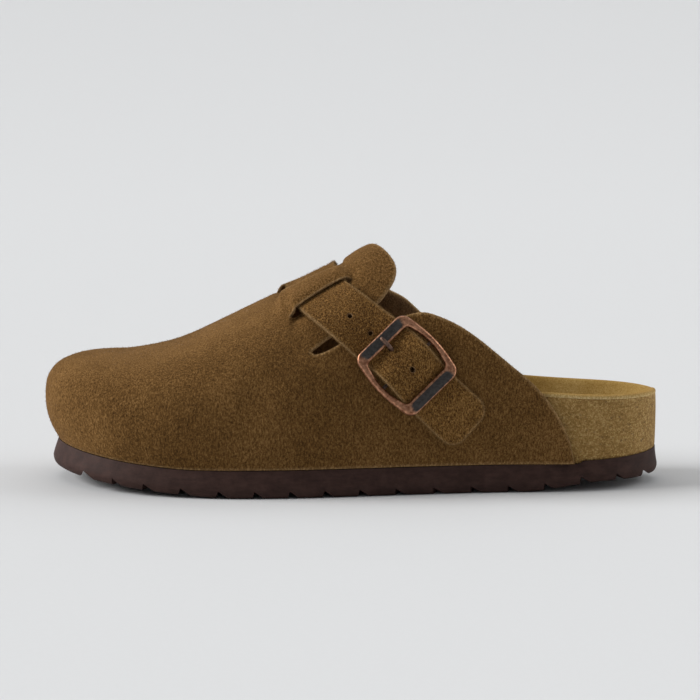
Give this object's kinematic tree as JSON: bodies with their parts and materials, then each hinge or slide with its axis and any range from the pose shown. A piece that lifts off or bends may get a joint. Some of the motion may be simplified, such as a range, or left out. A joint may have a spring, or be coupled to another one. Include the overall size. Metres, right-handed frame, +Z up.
{
  "type": "clog slipper",
  "caption": "Backless suede clog slipper, left shoe: closed toe, cork footbed, grooved flat sole and a buckled strap over the instep.",
  "frame": {"origin": "middle of the bounding box on the ground, with the tread on Z 0", "axes": "-X towards the toe, +X towards the heel, -Y the outer side of the foot, +Y the inner side, +Z up"},
  "size_m": [0.2892, 0.1044, 0.1107],
  "materials": {
    "outsole": "dark brown foam rubber, matt",
    "footbed": "pressed cork, speckled",
    "insole": "golden tan suede",
    "upper": "brown suede with raw cut edges",
    "strap": "brown suede with raw cut edges",
    "buckle_tab": "brown suede",
    "buckle_frame": "antique copper, dark flats with worn bright edges",
    "buckle_prong": "antique copper"
  },
  "bodies": {
    "root": {"outsole": "outsole", "footbed": "footbed", "insole": "insole", "upper": "upper", "strap": "strap", "buckle_tab": "buckle_tab", "buckle_frame": "buckle_frame", "buckle_prong": "buckle_prong"}
  },
  "joints": []
}
